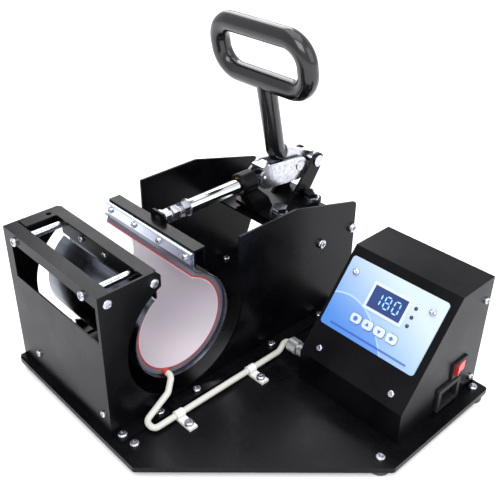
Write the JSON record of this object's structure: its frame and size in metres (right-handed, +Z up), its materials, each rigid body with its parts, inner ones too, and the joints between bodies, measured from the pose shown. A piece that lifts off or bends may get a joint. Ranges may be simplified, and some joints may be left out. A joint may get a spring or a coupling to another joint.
{
  "type": "mug heat press",
  "caption": "Bench heat press for mugs: an open curved heating mat in steel plates, closed by a toggle clamp with a loop handle, and a sloping control box.",
  "frame": {"origin": "under the middle of the whole press, on the surface that it stands on", "axes": "+X along the mug's axis, towards the side where the mug goes in; +Y the way the clamp pulls back when it opens; +Z up"},
  "size_m": [0.3174, 0.313, 0.2937],
  "materials": {
    "black_powder_coat": "satin",
    "zinc_steel": "bright zinc",
    "chrome": "polished",
    "aluminium": "satin",
    "spring_steel": "blue-grey satin",
    "red_silicone": "matt",
    "white_liner": "smooth satin",
    "sponge": "matt",
    "black_rubber": "matt",
    "black_coating": "gloss",
    "black_plastic": "fine texture",
    "red_plastic": "gloss",
    "white_plastic": "satin",
    "white_sleeve": "woven",
    "panel_film": "printed film, satin",
    "blue_key": "satin",
    "display_lens": "smoked",
    "lamp_lens": "clear",
    "bronze": "turned",
    "green_board": "satin",
    "transformer_steel": "varnished"
  },
  "bodies": {
    "root": {"base_plate": "black_powder_coat", "rubber_feet": "black_rubber", "base_screws": "zinc_steel", "cradle_near_plate": "black_powder_coat", "cradle_far_plate": "black_powder_coat", "cradle_face_panel": "black_powder_coat", "cradle_cross_strap": "black_powder_coat", "cradle_rear_panel": "black_powder_coat", "tie_rods": "zinc_steel", "cradle_screws": "zinc_steel", "heater_liner": "white_liner", "heater_mat": "red_silicone", "insulation_layer": "sponge", "backing_sheet": "spring_steel", "left_clamp_strip": "aluminium", "left_strip_screws": "zinc_steel", "guide_bush": "bronze", "clamp_body": "black_powder_coat", "clamp_bolts": "zinc_steel", "clamp_nuts": "zinc_steel", "clamp_spacers": "black_powder_coat", "lever_pivot_pin": "zinc_steel", "tower_near_plate": "black_powder_coat", "tower_far_plate": "black_powder_coat", "clamp_deck": "black_powder_coat", "tower_screws": "zinc_steel", "box_cover": "black_powder_coat", "box_back_panel": "black_powder_coat", "box_floor": "black_powder_coat", "box_screws": "zinc_steel", "control_panel": "panel_film", "display_unit": "display_lens", "indicator_lamps": "lamp_lens", "panel_board": "green_board", "switch_housing": "black_plastic", "power_inlet": "black_plastic", "power_board": "green_board", "transformer": "transformer_steel", "heater_lead": "white_sleeve", "lead_plug": "black_plastic", "plug_nut": "chrome", "lead_socket": "chrome", "lead_clips": "white_plastic"},
    "plunger": {"plunger_rod": "chrome", "spindle_stud": "zinc_steel", "spindle_nuts": "zinc_steel", "moving_bracket": "black_powder_coat", "right_clamp_strip": "aluminium", "right_strip_screws": "zinc_steel"},
    "lever": {"lever_bar": "zinc_steel", "handle_core": "zinc_steel", "handle_grip": "black_coating", "lever_link_pin": "zinc_steel"},
    "link": {"toggle_link": "zinc_steel", "link_front_rivets": "zinc_steel"},
    "rocker": {"switch_rocker": "red_plastic"},
    "key_1": {"button_1": "blue_key"},
    "key_2": {"button_2": "blue_key"},
    "key_3": {"button_3": "blue_key"},
    "key_4": {"button_4": "blue_key"}
  },
  "joints": [
    {"name": "lever_hinge", "type": "hinge", "parent": "root", "child": "lever", "pos_m": [-0.087, 0.1485, 0.142], "axis": [-1, 0, 0], "range_deg": [0, 90]},
    {"name": "plunger_slide", "type": "slide", "parent": "root", "child": "plunger", "axis": [0, 1, 0], "range_m": [0, 0.0273], "deforming": ["heater_liner", "heater_mat", "insulation_layer", "backing_sheet"]},
    {"name": "link_hinge", "type": "hinge", "parent": "lever", "child": "link", "pos_m": [-0.087, 0.1269, 0.142], "axis": [1, 0, 0], "range_deg": [0, 119.2]},
    {"name": "rocker_hinge", "type": "hinge", "parent": "root", "child": "rocker", "pos_m": [0.142, 0.0908, 0.0476], "axis": [0, 0, -1], "range_deg": [0, 10]},
    {"name": "key_1_slide", "type": "slide", "parent": "root", "child": "key_1", "axis": [0, 0.7822, -0.6231], "range_m": [0, 0.001], "stiffness_N_per_m": 150, "springref_m": -0.0004},
    {"name": "key_2_slide", "type": "slide", "parent": "root", "child": "key_2", "axis": [0, 0.7822, -0.6231], "range_m": [0, 0.001], "stiffness_N_per_m": 150, "springref_m": -0.0004},
    {"name": "key_3_slide", "type": "slide", "parent": "root", "child": "key_3", "axis": [0, 0.7822, -0.6231], "range_m": [0, 0.001], "stiffness_N_per_m": 150, "springref_m": -0.0004},
    {"name": "key_4_slide", "type": "slide", "parent": "root", "child": "key_4", "axis": [0, 0.7822, -0.6231], "range_m": [0, 0.001], "stiffness_N_per_m": 150, "springref_m": -0.0004}
  ],
  "couplings": [
    {"joint": "plunger_slide", "follows": "lever_hinge", "m_per_rad": 0.01732},
    {"joint": "link_hinge", "follows": "lever_hinge", "ratio": 1.322}
  ]
}
